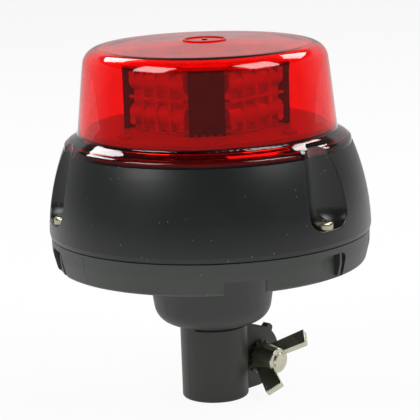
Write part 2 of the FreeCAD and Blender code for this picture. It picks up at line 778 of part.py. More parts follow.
# ================================================================ shroud
def pocket_scoop(grow=0.0, top=crown_height):
    """Upright scoop with a rounded floor, at the front."""
    scoop = Part.makeCylinder(pocket_radius + grow, top - pocket_floor + grow,
                              around(0, pocket_centre, pocket_floor - grow))
    rim = [e for e in scoop.Edges if abs(e.BoundBox.ZMax - pocket_floor + grow) < 1e-6]
    return scoop.makeFillet(pocket_fillet + grow, rim)


def at_pockets(shape):
    """Copies of a shape modelled at the front, one at each screw pocket."""
    return [turned(shape, angle) for angle in pocket_angles]


def side_arc(top_radius, belly_radius, belly_height, top_height):
    """Middle point of the shroud's bowed side between its belly and its top."""
    chord = Vector(top_radius - belly_radius, 0, top_height - belly_height)
    outward = Vector(chord.z, 0, -chord.x).normalize() * shroud_bow
    return Bow((top_radius + belly_radius) / 2 + outward.x, (top_height + belly_height) / 2 + outward.z)


def shroud():
    """Tapered shroud with three screw pockets, a rebate for the lens and a collar for the deck."""
    outer = revolved([(0, shroud_bottom), (shroud_bottom_radius, shroud_bottom),
                      (shroud_belly_radius, shroud_belly_height),
                      side_arc(shroud_top_radius, shroud_belly_radius, shroud_belly_height, shroud_top),
                      (shroud_top_radius, shroud_top), (0, shroud_top)])
    outer = outer.cut(at_pockets(pocket_scoop()))
    lips = [e for e in outer.Edges if is_pocket_lip(e)]
    outer = outer.makeFillet(pocket_lip_rounding, lips)
    seat = tube(screw_seat_radius, pocket_floor, pocket_floor + pocket_fillet, centre=around(0, screw_place))
    outer = outer.cut(at_pockets(seat))
    shoulder = tube(shoulder_radius, shroud_top - over, shoulder_top)
    shoulder = shoulder.cut(at_pockets(pocket_scoop(lens_wall + seat_gap)))
    collar = tube(collar_radius, shoulder_top - over, deck_underside)
    outer = fused([outer, shoulder, collar])

    inner_top = shroud_top - wall + (shoulder_top - shroud_top)
    cavity = revolved([(0, shroud_bottom - over), (shroud_bottom_radius - wall, shroud_bottom - over),
                       (shroud_bottom_radius - wall, shroud_bottom),
                       (shroud_belly_radius - wall, shroud_belly_height),
                       side_arc(shroud_top_radius - wall, shroud_belly_radius - wall, shroud_belly_height,
                                inner_top),
                       (shroud_top_radius - wall - sink, inner_top), (collar_radius - wall, inner_top),
                       (collar_radius - wall, deck_underside + over), (0, deck_underside + over)])
    seat_boss = tube(screw_seat_radius + wall, pocket_underside, pocket_floor + pocket_fillet,
                     centre=around(0, screw_place))
    walls = at_pockets(pocket_scoop(wall)) + at_pockets(seat_boss)
    deck_bosses = [tube(deck_boss_radius, inner_top, deck_underside + 2 * over, centre=place)
                   for place in deck_screw_places()]
    cavity = cavity.cut(walls + deck_bosses)
    holes = at_pockets(tube(screw_shank_radius + slip_gap, pocket_underside - over, pocket_floor + over,
                            centre=around(0, screw_place)))
    deck_pilots = [tube(deck_screw_radius + touch_gap, deck_top - deck_screw_length - screw_tip_room,
                        deck_top, centre=place) for place in deck_screw_places()]
    above = tube(collar_radius + over, deck_underside, deck_top)
    return outer.cut([cavity, above] + holes + deck_pilots).removeSplitter()


def is_pocket_lip(edge):
    """True for the edges where a scoop breaks out through the shroud's side."""
    box = edge.BoundBox
    middle = edge.valueAt((edge.FirstParameter + edge.LastParameter) / 2)
    outside = math.hypot(middle.x, middle.y) > shroud_top_radius - over
    return outside and box.ZMin > pocket_floor - over and box.ZLength > touch_gap


def shroud_screw():
    """Pan-head screw that holds the shroud down to the base."""
    recess = (cross_length, cross_width, cross_depth)
    screw = pan_screw(screw_head_radius, screw_head_height, screw_shank_radius, screw_length,
                      screw_head_rounding, recess)
    screw.translate(around(0, screw_place, pocket_floor))
    return screw


# ================================================================ lens
def lens_outside():
    """Outer form of the lens: crown, drafted wall, brim and skirt."""
    return revolved([(0, shroud_top), (skirt_radius, shroud_top),
                     (brim_radius, brim_top - brim_slope, brim_rounding),
                     (dome_foot_radius, brim_top, foot_fillet),
                     (dome_top_radius, crown_height - crown_drop, dome_corner), (0, crown_height)])


def lens_inside():
    """Hollow of the lens."""
    return revolved([(0, shroud_top - over), (skirt_inner, shroud_top - over),
                     (skirt_inner, brim_underside, lens_inner_rounding),
                     (dome_foot_radius - lens_wall, brim_underside),
                     (dome_top_radius - lens_wall, crown_height - crown_drop - lens_wall,
                      dome_corner - lens_wall), (0, crown_height - lens_wall)])


def lens_dome():
    """Thin-walled lens; its brim and skirt follow the shroud's pockets."""
    outside = lens_outside().cut(at_pockets(pocket_scoop()))
    hollow = lens_inside().cut(at_pockets(pocket_scoop(lens_wall)))
    gate_foot, gate_top = crown_height - over, crown_height + gate_ring_height
    gate_ring = ring(gate_ring_radius, gate_ring_radius - gate_ring_width, gate_foot, gate_top)
    gate_dot = tube(gate_dot_radius, gate_foot, gate_top)
    return fused([outside.cut(hollow), gate_ring, gate_dot])


def lens_seal():
    """Flat seal under the lens's brim."""
    notch_reach = pocket_centre - pocket_radius - lens_wall
    return ring(notch_reach - seat_gap, collar_radius + lens_seal_inset, shoulder_top, brim_underside)


# ================================================================ deck and light engine
def deck_screw_places():
    """Deck fixings, one in front of each light facet."""
    step = 360.0 / deck_screw_count
    return [around(45.0 + step * n, deck_screw_place) for n in range(deck_screw_count)]


def deck_plate():
    """Round deck that closes the shroud and carries the light engine."""
    plate = tube(collar_radius, deck_underside, deck_top, bore=engine_bore_radius)
    rim = [e for e in plate.Edges if abs(e.BoundBox.XMax - collar_radius) < 1e-3
           and abs(e.BoundBox.ZMin - deck_top) < 1e-6]
    plate = plate.makeChamfer(deck_edge_chamfer, rim)
    return plate.cut([tube(deck_screw_radius + slip_gap, deck_underside - over, deck_top + over, centre=place)
                      for place in deck_screw_places()])


def engine_plan(reach, corner_reach):
    """Plan of the engine: a square turned by 45 degrees with its corners cut off."""
    square = Part.makeBox(2 * reach, 2 * reach, engine_height, Vector(-reach, -reach, deck_top))
    square = turned(square, 45.0)
    return square.common(Part.makeBox(2 * corner_reach, 2 * corner_reach, engine_height,
                                      Vector(-corner_reach, -corner_reach, deck_top)))


def heat_sink():
    """Extruded heat sink: a square core with a finned block on each corner."""
    core = engine_plan(board_place, engine_corner_reach)
    gap = (engine_corner_width - fin_count * fin_thickness) / (fin_count - 1)
    corner_root = board_place * 0.7
    blocks, grooves = [], []
    for angle in corner_angles:
        centre = around(0, (corner_root + engine_corner_reach) / 2)
        corner = block(engine_corner_width, engine_corner_reach - corner_root, deck_top, engine_top, centre)
        blocks.append(turned(corner, angle))
        for number in range(fin_count - 1):
            middle = -engine_corner_width / 2 + fin_thickness + gap / 2 + number * (fin_thickness + gap)
            groove = block(gap, 2 * fin_depth, deck_top - over, engine_top + over,
                           Vector(middle, -engine_corner_reach, 0))
            grooves.append(turned(groove, angle))
    pilots = [tube(cap_screw_radius + touch_gap, engine_top - cap_screw_length, engine_top + over,
                   centre=place) for place in cap_screw_places()]
    bore = tube(engine_bore_radius, deck_top - over, engine_top + over)
    return fused([core] + blocks).cut(grooves + pilots + [bore]).removeSplitter()


def facet_half_width(place):
    """Half the width between the corner blocks, at a distance from the axis."""
    return place - engine_corner_width / math.sqrt(2)


def led_board():
    """LED board on a facet of the core, at the front."""
    half = facet_half_width(board_place) - board_margin
    return block(2 * half, board_thickness, deck_top + board_margin, engine_top - board_margin,
                 around(0, board_place + board_thickness / 2))


def cell_places():
    """Middle of each optic cell: across the facet and up it."""
    half = facet_half_width(board_place) - board_margin - optic_divider
    step = 2 * half / optic_cells
    tier = engine_height / optic_tiers
    return [(-half + step * (column + 0.5), deck_top + tier * (row + 0.5))
            for row in range(optic_tiers) for column in range(optic_cells)]


def led_chips():
    """The facet's LEDs, one behind each optic cell."""
    face = board_place + board_thickness
    chips = [block(led_width, led_thickness, up - led_width / 2, up + led_width / 2,
                   Vector(across, -face - led_thickness / 2, 0)) for across, up in cell_places()]
    return Part.makeCompound(chips)


def optic_block():
    """Clear optic: a wedge-sided block with a lens bar for each tier, dividers and corner bosses."""
    back = board_place + board_thickness
    front = engine_facet_place
    half_back = facet_half_width(back) - seat_gap
    half_front = facet_half_width(front) - seat_gap
    bar_root = front - optic_bar_radius + optic_bar_sink
    half_root = facet_half_width(bar_root) - seat_gap
    low, high = deck_top + seat_gap, engine_top
    plan = [Vector(-half_back, -back, low), Vector(half_back, -back, low), Vector(half_root, -bar_root, low),
            Vector(-half_root, -bar_root, low), Vector(-half_back, -back, low)]
    body = Part.Face(Part.makePolygon(plan)).extrude(Vector(0, 0, high - low))
    tier = (high - low) / optic_tiers
    pieces = [body]
    for row in range(optic_tiers):
        middle = low + tier * (row + 0.5)
        bar = Part.makeCylinder(optic_bar_radius, 2 * half_root, Vector(-half_root, -front + optic_bar_radius,
                                                                         middle), Vector(1, 0, 0))
        pieces.append(bar)
    shelf_depth = front - bar_root + over
    for row in range(optic_tiers + 1):
        level = low + tier * row
        shelf = block(2 * half_root, shelf_depth, max(low, level - optic_divider / 2),
                      min(high, level + optic_divider / 2), Vector(0, -front + shelf_depth / 2, 0))
        pieces.append(shelf)
    step = 2 * half_root / optic_cells
    for column in range(1, optic_cells):
        pieces.append(block(optic_divider, shelf_depth, low, high,
                            Vector(-half_root + step * column, -front + shelf_depth / 2, 0)))
    for side in (-1, 1):
        for level in (low + optic_boss_inset, high - optic_boss_inset):
            centre = Vector(side * (half_root - optic_boss_inset / 2), -front, level)
            pieces.append(Part.makeCylinder(optic_boss_radius, shelf_depth, centre, Vector(0, 1, 0)))
    inside = [Vector(-half_front, -front, low), Vector(half_front, -front, low),
              Vector(half_back, -back, low), Vector(-half_back, -back, low), Vector(-half_front, -front, low)]
    envelope = Part.Face(Part.makePolygon(inside)).extrude(Vector(0, 0, high - low))
    room = led_width / 2 + led_room
    recesses = [block(2 * room, led_thickness + seat_gap, up - room, up + room,
                      Vector(across, -back - (led_thickness + seat_gap) / 2, 0))
                for across, up in cell_places()]
    return fused(pieces).common(envelope).cut(recesses)


def cap_screw_places():
    """Cap fixings, over the core."""
    return [around(angle, cap_screw_place) for angle in facet_angles]


def engine_cap():
    """Plate on top of the light engine."""
    plan = engine_plan(engine_facet_place, engine_corner_reach)
    plan.translate(Vector(0, 0, engine_height))
    cap = plan.common(tube(2 * engine_corner_reach, engine_top, engine_top + cap_thickness))
    return cap.cut([tube(cap_screw_radius + slip_gap, engine_top - over, engine_top + cap_thickness + over,
                         centre=place) for place in cap_screw_places()])


# ================================================================ driver board
def driver_board():
    """Round circuit board on the base's standoffs."""
    board = tube(driver_board_radius, driver_board_height, board_top)
    return board.cut([tube(standoff_bore_radius + slip_gap, driver_board_height - over, board_top + over,
                           centre=place)
                      for place in standoff_places()])


def capacitor(angle):
    """Electrolytic capacitor standing on the board."""
    top = board_top + capacitor_height
    body = revolved([(0, board_top), (capacitor_radius, board_top, capacitor_foot_rounding),
                     (capacitor_radius, top, capacitor_top_rounding), (0, top)])
    body.translate(around(angle, capacitor_place))
    return body


def choke():
    """Toroidal choke lying on the board."""
    top = board_top + choke_height
    corners = [(choke_inner_radius, board_top), (choke_outer_radius, board_top), (choke_outer_radius, top),
               (choke_inner_radius, top)]
    body = revolved([(r, z, choke_rounding) for r, z in corners])
    body.translate(around(choke_angle, choke_place))
    return body


def terminal_block():
    """Two-way terminal block for the leads to the light engine."""
    top = board_top + terminal_height
    body = block(terminal_length, terminal_depth, board_top, top, around(0, terminal_place))
    ways = []
    for side in (-1, 1):
        across = side * terminal_length / 4
        ways.append(tube(terminal_depth / 4, top - terminal_height / 3, top + over,
                         centre=Vector(across, -terminal_place, 0)))
        ways.append(block(terminal_length / 4, terminal_depth / 2, board_top + terminal_sill,
                          board_top + terminal_height / 2,
                          Vector(across, -terminal_place - terminal_depth / 2, 0)))
    return turned(body.cut(ways), terminal_angle)


def mode_switch():
    """Small switch block that sets the flash pattern."""
    top = board_top + switch_height
    body = block(switch_length, switch_width, board_top, top, around(0, switch_place))
    step = switch_length / switch_lever_count
    slots = [block(step / 2, switch_width / 2, top - switch_slot_depth, top + over,
                   Vector(-switch_length / 2 + step * (n + 0.5), -switch_place, 0))
             for n in range(switch_lever_count)]
    return turned(body.cut(slots), switch_angle)


# ================================================================ pole contacts
def contact_insulator():
    """Stepped insulator in the sleeve's neck, bored for the sprung contact."""
    body = revolved([(0, earth_ring_top), (neck_bore_radius - slip_gap, earth_ring_top),
                     (neck_bore_radius - slip_gap, neck_top), (insulator_flange_radius, neck_top),
                     (insulator_flange_radius, neck_top + insulator_flange_thickness),
                     (insulator_tower_radius, neck_top + insulator_flange_thickness,
                      insulator_tower_rounding),
                     (insulator_tower_radius, tower_top), (0, tower_top)])
    cuts = [tube(plunger_tip_radius + running_gap, 0, tower_top + over),
            tube(plunger_flange_radius + running_gap, plunger_shoulder, tower_top + over),
            tube(earth_post_radius + slip_gap, 0, tower_top, centre=earth_post_place())]
    cuts += [tube(insulator_screw_radius + slip_gap, 0, tower_top, centre=place)
             for place in insulator_screw_places()]
    return body.cut(cuts)


def centre_contact():
    """Sprung centre contact: a pin with a flange that the spring pushes down."""
    tip = pole_bore_depth + plunger_recess
    flange = plunger_shoulder + touch_gap
    top = flange + plunger_flange_thickness
    return revolved([(0, tip), (plunger_tip_radius, tip, plunger_tip_rounding), (plunger_tip_radius, flange),
                     (plunger_flange_radius, flange), (plunger_flange_radius, top), (0, top)])


def contact_spring():
    """Coil spring between the centre contact and its cap."""
    low = spring_foot + spring_wire_radius + touch_gap
    high = spring_foot + spring_length - spring_wire_radius - touch_gap
    path = Part.makeHelix((high - low) / spring_turns, high - low, spring_radius)
    path.translate(Vector(0, 0, low))
    section = Part.Wire(Part.makeCircle(spring_wire_radius, Vector(spring_radius, 0, low), Vector(0, 1, 0)))
    return Part.Wire(path).makePipeShell([section], True, False)


def contact_cap():
    """Cap that closes the insulator's bore and takes the live lead."""
    low = spring_foot + spring_length
    return tube(plunger_flange_radius, low, low + contact_cap_thickness)


def earth_ring():
    """Contact ring that the pole's end meets, with a post up through the neck."""
    plate = ring(earth_ring_radius, neck_bore_radius + slip_gap, pole_bore_depth, earth_ring_top)
    post = tube(earth_post_radius, pole_bore_depth, earth_post_top, centre=earth_post_place())
    return fused([plate, post])


def lead(start, end):
    """Insulated lead: up, across and up again, bent to one radius."""
    lower = start + Vector(0, 0, lead_straight)
    upper = end - Vector(0, 0, lead_straight)
    low_arc = corner_arc(start, lower, upper, lead_bend)
    high_arc = corner_arc(lower, upper, end, lead_bend)
    path = Part.Wire([Part.LineSegment(start, low_arc[0]).toShape(), Part.Arc(*low_arc).toShape(),
                      Part.LineSegment(low_arc[2], high_arc[0]).toShape(), Part.Arc(*high_arc).toShape(),
                      Part.LineSegment(high_arc[2], end).toShape()])
    section = Part.Wire(Part.makeCircle(lead_radius, start, Vector(0, 0, 1)))
    return path.makePipeShell([section], True, False)


def live_lead():
    """Lead from the centre contact's cap to the driver board."""
    return lead(Vector(0, 0, tower_top), around(live_lead_angle, lead_board_place, driver_board_height))


def earth_lead():
    """Lead from the earth post to the driver board."""
    start = around(earth_post_angle, insulator_screw_place, earth_post_top)
    return lead(start, around(earth_lead_angle, lead_board_place, driver_board_height))


# ================================================================ the assembly
def numbered(name, shapes):
    """Names for a repeated piece: name_1, name_2 and so on."""
    return {f"{name}_{number}": shape for number, shape in enumerate(shapes, start=1)}


def screws_at(places, height, head_radius, head_height, shank_radius, length):
    """Small screws standing at the given places, heads on the given height."""
    screws = []
    for place in places:
        screw = small_screw(head_radius, head_height, shank_radius, length)
        screw.translate(Vector(place.x, place.y, height))
        screws.append(screw)
    return screws


def all_pieces():
    """Every piece of the beacon by its node name."""
    pieces = {
        "clamp_sleeve": clamp_sleeve(), "neck_seal": neck_seal(), "neck_circlip": neck_circlip(),
        "clamp_bolt": clamp_bolt(), "lock_washer": lock_washer(), "wing_nut": wing_nut(),
        "base_housing": base_housing(), "housing_seal": housing_seal(), "shroud": shroud(),
        "lens_dome": lens_dome(), "lens_seal": lens_seal(), "deck_plate": deck_plate(),
        "heat_sink": heat_sink(), "engine_cap": engine_cap(), "driver_board": driver_board(),
        "choke": choke(), "terminal_block": terminal_block(), "mode_switch": mode_switch(),
        "contact_insulator": contact_insulator(), "centre_contact": centre_contact(),
        "contact_spring": contact_spring(), "contact_cap": contact_cap(), "earth_ring": earth_ring(),
        "live_lead": live_lead(), "earth_lead": earth_lead(),
    }
    pieces.update(numbered("shroud_screw", at_pockets(shroud_screw())))
    pieces.update(numbered("led_board", [turned(led_board(), angle) for angle in facet_angles]))
    pieces.update(numbered("led_chips", [turned(led_chips(), angle) for angle in facet_angles]))
    pieces.update(numbered("optic_block", [turned(optic_block(), angle) for angle in facet_angles]))
    pieces.update(numbered("capacitor", [capacitor(angle) for angle in capacitor_angles]))
    pieces.update(numbered("deck_screw", screws_at(deck_screw_places(), deck_top, deck_screw_head_radius,
                                                   deck_screw_head_height, deck_screw_radius,
                                                   deck_screw_length)))
    pieces.update(numbered("cap_screw", screws_at(cap_screw_places(), engine_top + cap_thickness,
                                                  cap_screw_head_radius, cap_screw_head_height,
                                                  cap_screw_radius, cap_screw_length)))
    pieces.update(numbered("driver_screw", screws_at(standoff_places(), board_top, driver_screw_head_radius,
                                                     driver_screw_head_height, standoff_bore_radius,
                                                     driver_screw_length)))
    pieces.update(numbered("insulator_screw", screws_at(insulator_screw_places(),
                                                        neck_top + insulator_flange_thickness,
                                                        insulator_screw_head_radius,
                                                        insulator_screw_head_height,
                                                        insulator_screw_radius, insulator_screw_length)))
    return pieces


def main():
    """Build every piece and write one STEP file per node."""
    os.makedirs("parts", exist_ok=True)
    for name, shape in all_pieces().items():
        shape.exportStep(f"parts/{name}.step")
        print(f"{name}: {len(shape.Solids)} solid(s), {shape.Volume:.0f} mm3, valid {shape.isValid()}")


main()
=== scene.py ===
"""Looks of a pole-mounted LED beacon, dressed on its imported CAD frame.

Each sub-assembly is a class that dresses its CAD nodes and adds the small pieces that the
frame leaves out. Each finish is a frozen dataclass that makes one procedural material.
Lengths are in metres in the row frame, and in millimetres where a name ends in _mm.
"""

from __future__ import annotations

import logging
import math
from dataclasses import dataclass
from enum import Enum
from functools import cache, cached_property
from typing import ClassVar, Iterable, Mapping, Sequence

import bmesh
import bpy
from mathutils import Matrix, Vector
from mathutils.bvhtree import BVHTree


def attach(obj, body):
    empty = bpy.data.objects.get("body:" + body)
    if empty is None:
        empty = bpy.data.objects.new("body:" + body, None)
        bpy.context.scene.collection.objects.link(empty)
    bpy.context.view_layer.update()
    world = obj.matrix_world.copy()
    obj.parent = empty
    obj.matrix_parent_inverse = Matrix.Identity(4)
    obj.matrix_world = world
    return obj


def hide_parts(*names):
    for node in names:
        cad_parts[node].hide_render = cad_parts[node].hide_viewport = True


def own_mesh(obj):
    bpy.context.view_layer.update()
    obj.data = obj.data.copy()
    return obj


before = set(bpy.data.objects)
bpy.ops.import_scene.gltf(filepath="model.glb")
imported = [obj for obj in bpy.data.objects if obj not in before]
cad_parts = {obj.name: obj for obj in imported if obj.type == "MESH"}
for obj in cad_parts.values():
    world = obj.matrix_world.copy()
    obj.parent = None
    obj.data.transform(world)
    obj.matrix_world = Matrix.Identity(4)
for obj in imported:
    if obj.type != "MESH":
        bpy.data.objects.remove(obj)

log = logging.getLogger("beacon")
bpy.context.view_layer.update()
MM = 0.001


# ---------------------------------------------------------------- colours, tables and nodes
def linear(hex_colour: str) -> tuple[float, float, float, float]:
    """Turn an sRGB hex colour into the linear colour that shaders take.

    Args:
        hex_colour: Six hex digits with a leading #.

    Returns:
        Linear red, green, blue and an alpha of 1.
    """
    channels = [int(hex_colour[i:i + 2], 16) / 255 for i in (1, 3, 5)]
    red, green, blue = (c / 12.92 if c <= 0.04045 else ((c + 0.055) / 1.055) ** 2.4 for c in channels)
    return red, green, blue, 1.0


def per_mm(size_mm: float) -> float:
    """Texture scale, in repeats per metre, of a detail of the given size."""
    return 1.0 / (size_mm * MM)


def between(table: Sequence[tuple[float, float]], key: float) -> float:
    """Read a table of (key, value) pairs, straight between its rows and flat outside them.

    Args:
        table: Rows in rising order of key.
        key: Where to read.

    Returns:
        The value there.
    """
    if key <= table[0][0]:
        return table[0][1]
    for (low, start), (high, end) in zip(table, table[1:]):
        if key <= high:
            return start + (end - start) * (key - low) / (high - low)
    return table[-1][1]


def add_node(tree: bpy.types.NodeTree, kind: str, settings: Mapping | None = None,
             links: Mapping | None = None) -> bpy.types.Node:
    """Add one node to a tree, with its settings and links.

    Args:
        tree: Node tree that takes the node.
        kind: Blender's name of the node type.
        settings: Values by property name, or by input name or number.
        links: Sockets that feed the node, by input name or number.

    Returns:
        The new node.
    """
    node = tree.nodes.new(kind)
    for key, value in (settings or {}).items():
        if isinstance(key, str) and key in node.bl_rna.properties:
            setattr(node, key, value)
        else:
            node.inputs[key].default_value = value
    for key, socket in (links or {}).items():
        tree.links.new(socket, node.inputs[key])
    return node


class MaterialGraph:
    """A new material's node tree, with the kinds of node that the finishes share."""

    def __init__(self, name: str) -> None:
        """Make the material with an empty tree and its output.

        Args:
            name: Name of the material.
        """
        self.material = bpy.data.materials.new(name)
        self.material.use_nodes = True
        self.tree = self.material.node_tree
        self.tree.nodes.clear()
        self.output = add_node(self.tree, "ShaderNodeOutputMaterial")

    @cached_property
    def place(self) -> bpy.types.NodeSocket:
        """Object coordinates, in metres."""
        return add_node(self.tree, "ShaderNodeTexCoord").outputs["Object"]

    def noise(self, size_mm: float, detail: float) -> bpy.types.NodeSocket:
        """Cloudy noise from 0 to 1 with details of a real size."""
        return add_node(self.tree, "ShaderNodeTexNoise", {"Scale": per_mm(size_mm), "Detail": detail},
                        {"Vector": self.place}).outputs["Fac"]

    def ramp(self, value: bpy.types.NodeSocket, settings: Mapping[str, float]) -> bpy.types.NodeSocket:
        """Map a value from one range to another."""
        return add_node(self.tree, "ShaderNodeMapRange", settings, {"Value": value}).outputs["Result"]

    def vary(self, value: bpy.types.NodeSocket, middle: float, spread: float) -> bpy.types.NodeSocket:
        """Turn 0 to 1 into a level that strays from its middle by the spread."""
        return self.ramp(value, {"To Min": middle - spread, "To Max": middle + spread})

    def tone(self, value: bpy.types.NodeSocket, first: str, second: str) -> bpy.types.NodeSocket:
        """Mix two hex colours by a value from 0 to 1."""
        return add_node(self.tree, "ShaderNodeMix",
                        {"data_type": "RGBA", 6: linear(first), 7: linear(second)}, {0: value}).outputs[2]

    def bump(self, height: bpy.types.NodeSocket, strength: float, depth_mm: float,
             invert: bool = False) -> bpy.types.NodeSocket:
        """Normal of a relief of the given depth."""
        return add_node(self.tree, "ShaderNodeBump",
                        {"Strength": strength, "Distance": depth_mm * MM, "invert": invert},
                        {"Height": height}).outputs["Normal"]

    def surface(self, settings: Mapping, links: Mapping) -> bpy.types.Material:
        """Close the tree with a Principled shader.

        Args:
            settings: The shader's plain values by input name.
            links: Sockets that feed it, by input name.

        Returns:
            The finished material.
        """
        shader = add_node(self.tree, "ShaderNodeBsdfPrincipled", settings, links)
        self.tree.links.new(shader.outputs["BSDF"], self.output.inputs["Surface"])
        return self.material


# ---------------------------------------------------------------- finishes
@dataclass(frozen=True)
class MouldedPlastic:
    """Injection-moulded plastic off a spark-eroded tool: an even, very fine grain."""

    name: str
    colour: str
    pale_colour: str
    roughness: float = 0.5
    roughness_spread: float = 0.05
    specular: float = 0.5
    cloud_mm: float = 18.0
    grain_mm: float = 0.35
    grain_strength: float = 0.15
    grain_depth_mm: float = 0.03
    dust_mm: float = 0.0
    dust_colour: str = "#B4B4AE"
    speck_mm: tuple[float, float] = (0.12, 0.2)

    def material(self) -> bpy.types.Material:
        """Make the material: cloudy tone, grain in the bump, polish that varies a little."""
        graph = MaterialGraph(self.name)
        cloud = graph.noise(self.cloud_mm, 3.0)
        tone = graph.tone(cloud, self.colour, self.pale_colour)
        if self.dust_mm > 0:
            tone = self.dusted(graph, tone)
        polish = graph.vary(cloud, self.roughness, self.roughness_spread)
        normal = graph.bump(graph.noise(self.grain_mm, 2.0), self.grain_strength, self.grain_depth_mm)
        return graph.surface({"Specular IOR Level": self.specular, "IOR": 1.5},
                             {"Base Color": tone, "Roughness": polish, "Normal": normal})

    def dusted(self, graph: MaterialGraph, tone: bpy.types.NodeSocket) -> bpy.types.NodeSocket:
        """Scatter pale specks of dust over a tone.

        Args:
            graph: The material's graph.
            tone: The plastic's own tone.

        Returns:
            The tone with its specks.
        """
        inner, outer = self.speck_mm
        cells = add_node(graph.tree, "ShaderNodeTexVoronoi", {"Scale": per_mm(self.dust_mm)},
                         {"Vector": graph.place})
        speck = graph.ramp(cells.outputs["Distance"],
                           {"From Min": inner / self.dust_mm, "From Max": outer / self.dust_mm,
                            "To Min": 1.0, "To Max": 0.0})
        return add_node(graph.tree, "ShaderNodeMix", {"data_type": "RGBA", 7: linear(self.dust_colour)},
                        {0: speck, 6: tone}).outputs[2]


@dataclass(frozen=True)
class ClearPlastic:
    """Polished transparent plastic, tinted in the mass."""

    name: str
    colour: str
    roughness: float = 0.03
    ior: float = 1.586
    transmission: float = 1.0
    ripple_mm: float = 24.0
    ripple_strength: float = 0.06
    ripple_depth_mm: float = 0.2

    def material(self) -> bpy.types.Material:
        """Make the material: light passes through, with the slow ripple of a moulded sheet."""
        graph = MaterialGraph(self.name)
        ripple = graph.noise(self.ripple_mm, 1.0)
        return graph.surface({"Base Color": linear(self.colour), "IOR": self.ior,
                              "Transmission Weight": self.transmission},
                             {"Roughness": graph.vary(ripple, self.roughness, self.roughness / 2),
                              "Normal": graph.bump(ripple, self.ripple_strength, self.ripple_depth_mm)})


@dataclass(frozen=True)
class PlatedMetal:
    """Plated or bare metal with a little mottling and fine tumbling marks."""

    name: str
    colour: str
    second_colour: str
    roughness: float = 0.3
    roughness_spread: float = 0.08
    mottle_mm: float = 2.5
    mark_mm: float = 0.25
    mark_strength: float = 0.2
    mark_depth_mm: float = 0.02

    def material(self) -> bpy.types.Material:
        """Make the material: two plating tones, fine marks in bump and polish."""
        graph = MaterialGraph(self.name)
        marks = graph.noise(self.mark_mm, 3.0)
        return graph.surface({"Metallic": 1.0},
                             {"Base Color": graph.tone(graph.noise(self.mottle_mm, 4.0), self.colour,
                                                       self.second_colour),
                              "Roughness": graph.vary(marks, self.roughness, self.roughness_spread),
                              "Normal": graph.bump(marks, self.mark_strength, self.mark_depth_mm)})


@dataclass(frozen=True)
class BoardLaminate:
    """Glass-fibre circuit board under solder mask, with copper tracks showing through."""

    name: str
    mask_colour: str
    track_colour: str
    roughness: float = 0.3
    track_mm: float = 3.0
    track_strength: float = 0.4
    track_depth_mm: float = 0.03

    def material(self) -> bpy.types.Material:
        """Make the material: squared track pattern, slightly raised, under a satin mask."""
        graph = MaterialGraph(self.name)
        tracks = add_node(graph.tree, "ShaderNodeTexVoronoi",
                          {"distance": "MANHATTAN", "feature": "F1", "Scale": per_mm(self.track_mm)},
                          {"Vector": graph.place})
        edge = graph.ramp(tracks.outputs["Distance"], {"From Min": 0.45, "From Max": 0.55})
        return graph.surface({"Roughness": self.roughness},
                             {"Base Color": graph.tone(edge, self.track_colour, self.mask_colour),
                              "Normal": graph.bump(edge, self.track_strength, self.track_depth_mm, True)})


